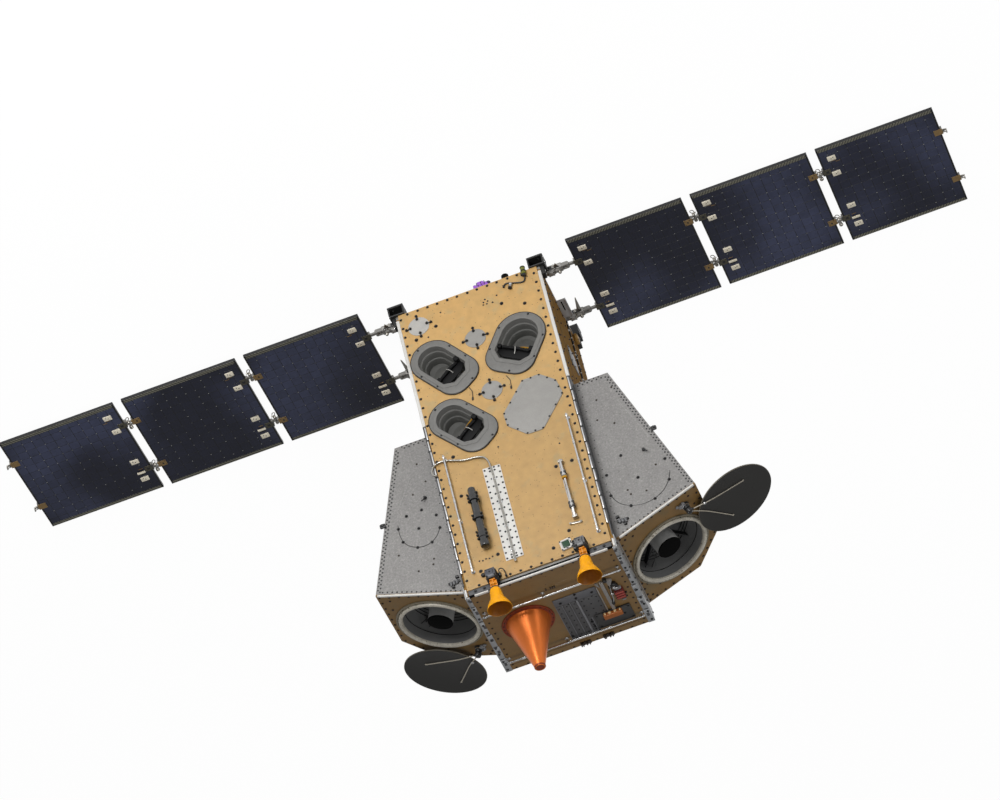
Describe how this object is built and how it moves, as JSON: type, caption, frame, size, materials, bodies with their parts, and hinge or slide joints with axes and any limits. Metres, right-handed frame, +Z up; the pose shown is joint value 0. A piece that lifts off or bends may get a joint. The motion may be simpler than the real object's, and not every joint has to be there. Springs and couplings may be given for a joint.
{
  "type": "observation satellite",
  "caption": "Box-bodied observation satellite with two lidded telescope pods, star trackers, horn antennas, a copper cone and folding solar wings.",
  "frame": {"origin": "centre of the four feet's bolt pattern, on the floor plane", "axes": "+Z up from the feet to the instrument deck; -Y out of the tracker (front) face; +X along the wings, to the right as the front face is seen"},
  "size_m": [6.824, 1.4446, 2.881],
  "materials": {
    "tan_panel": "satin gold-tan with dark bolts",
    "frame_grey": "dark grey satin",
    "deck_brown": "bronze-brown satin",
    "rail_white": "matt white",
    "foot_black": "black satin",
    "tracker_black": "black and dark grey",
    "cover_grey": "brushed grey",
    "dark_fitting": "black gloss",
    "steel": "brushed",
    "horn_gold": "polished gold",
    "copper": "satin copper",
    "deck_dark": "dark satin",
    "pod_grey": "speckled grey",
    "telescope_cream": "worn light metal",
    "lid_grey": "dark grey matt",
    "cells_navy": "glossy solar cells",
    "hinge_silver": "machined metal",
    "unit_purple": "satin purple"
  },
  "bodies": {
    "bus": {"front_panel": "tan_panel", "front_frame": "frame_grey", "back_panel": "tan_panel", "base_panel": "frame_grey", "instrument_deck": "deck_brown", "side_panel_right": "tan_panel", "side_panel_left": "tan_panel", "corner_rails": "rail_white", "deck_flanges": "cover_grey", "corner_feet": "foot_black", "tracker_upper_right": "tracker_black", "tracker_upper_left": "tracker_black", "tracker_lower_right": "tracker_black", "cover_plates": "cover_grey", "strip_and_pipe": "dark_fitting", "dispenser_tube": "dark_fitting", "strut_link": "steel", "front_handrails": "steel", "deck_handrails": "steel", "horn_right": "horn_gold", "horn_left": "horn_gold", "horn_brackets": "cover_grey", "copper_cone": "copper", "deck_plates": "deck_dark", "deck_units": "copper", "pod_shell_right": "pod_grey", "pod_shell_left": "pod_grey", "pod_face_right": "deck_brown", "pod_face_left": "deck_brown", "telescope_right": "telescope_cream", "telescope_left": "telescope_cream", "telescope_hub_right": "tracker_black", "telescope_hub_left": "tracker_black", "lid_post_right": "steel", "lid_post_left": "steel", "purple_unit": "unit_purple", "base_connectors": "dark_fitting", "side_units": "cover_grey", "wing_arms_right": "hinge_silver", "wing_arms_left": "hinge_silver"},
    "right_wing_inner": {"wing_right_panel_1": "cells_navy", "wing_right_hinges_1": "hinge_silver"},
    "right_wing_middle": {"wing_right_panel_2": "cells_navy", "wing_right_hinges_2": "hinge_silver"},
    "right_wing_outer": {"wing_right_panel_3": "cells_navy", "wing_right_hinges_3": "hinge_silver"},
    "right_lid": {"lid_right": "lid_grey"},
    "left_wing_inner": {"wing_left_panel_1": "cells_navy", "wing_left_hinges_1": "hinge_silver"},
    "left_wing_middle": {"wing_left_panel_2": "cells_navy", "wing_left_hinges_2": "hinge_silver"},
    "left_wing_outer": {"wing_left_panel_3": "cells_navy", "wing_left_hinges_3": "hinge_silver"},
    "left_lid": {"lid_left": "lid_grey"}
  },
  "joints": [
    {"name": "right_wing_root", "type": "hinge", "parent": "bus", "child": "right_wing_inner", "pos_m": [0.69, -0.048, 0.04], "axis": [0, -1, 0], "range_deg": [0, 90]},
    {"name": "right_wing_fold_1", "type": "hinge", "parent": "right_wing_inner", "child": "right_wing_middle", "pos_m": [1.613, -0.048, 0.022], "axis": [0, -1, 0], "range_deg": [-180, 0]},
    {"name": "right_wing_fold_2", "type": "hinge", "parent": "right_wing_middle", "child": "right_wing_outer", "pos_m": [2.507, -0.048, 0.058], "axis": [0, -1, 0], "range_deg": [0, 180]},
    {"name": "left_wing_root", "type": "hinge", "parent": "bus", "child": "left_wing_inner", "pos_m": [-0.69, -0.048, 0.04], "axis": [0, 1, 0], "range_deg": [0, 90]},
    {"name": "left_wing_fold_1", "type": "hinge", "parent": "left_wing_inner", "child": "left_wing_middle", "pos_m": [-1.613, -0.048, 0.022], "axis": [0, 1, 0], "range_deg": [-180, 0]},
    {"name": "left_wing_fold_2", "type": "hinge", "parent": "left_wing_middle", "child": "left_wing_outer", "pos_m": [-2.507, -0.048, 0.058], "axis": [0, 1, 0], "range_deg": [0, 180]},
    {"name": "right_lid_swing", "type": "hinge", "parent": "bus", "child": "right_lid", "pos_m": [0.66088, 0.33616, 2.37793], "axis": [0.342, 0, 0.9397], "range_deg": [-97.1, 0]},
    {"name": "left_lid_swing", "type": "hinge", "parent": "bus", "child": "left_lid", "pos_m": [-1.01827, -0.22899, 2.24785], "axis": [-0.342, 0, 0.9397], "range_deg": [-92.9, 0]}
  ],
  "couplings": [
    {"joint": "right_wing_fold_1", "follows": "right_wing_root", "ratio": -2},
    {"joint": "right_wing_fold_2", "follows": "right_wing_root", "ratio": 2},
    {"joint": "left_wing_fold_1", "follows": "left_wing_root", "ratio": -2},
    {"joint": "left_wing_fold_2", "follows": "left_wing_root", "ratio": 2}
  ]
}
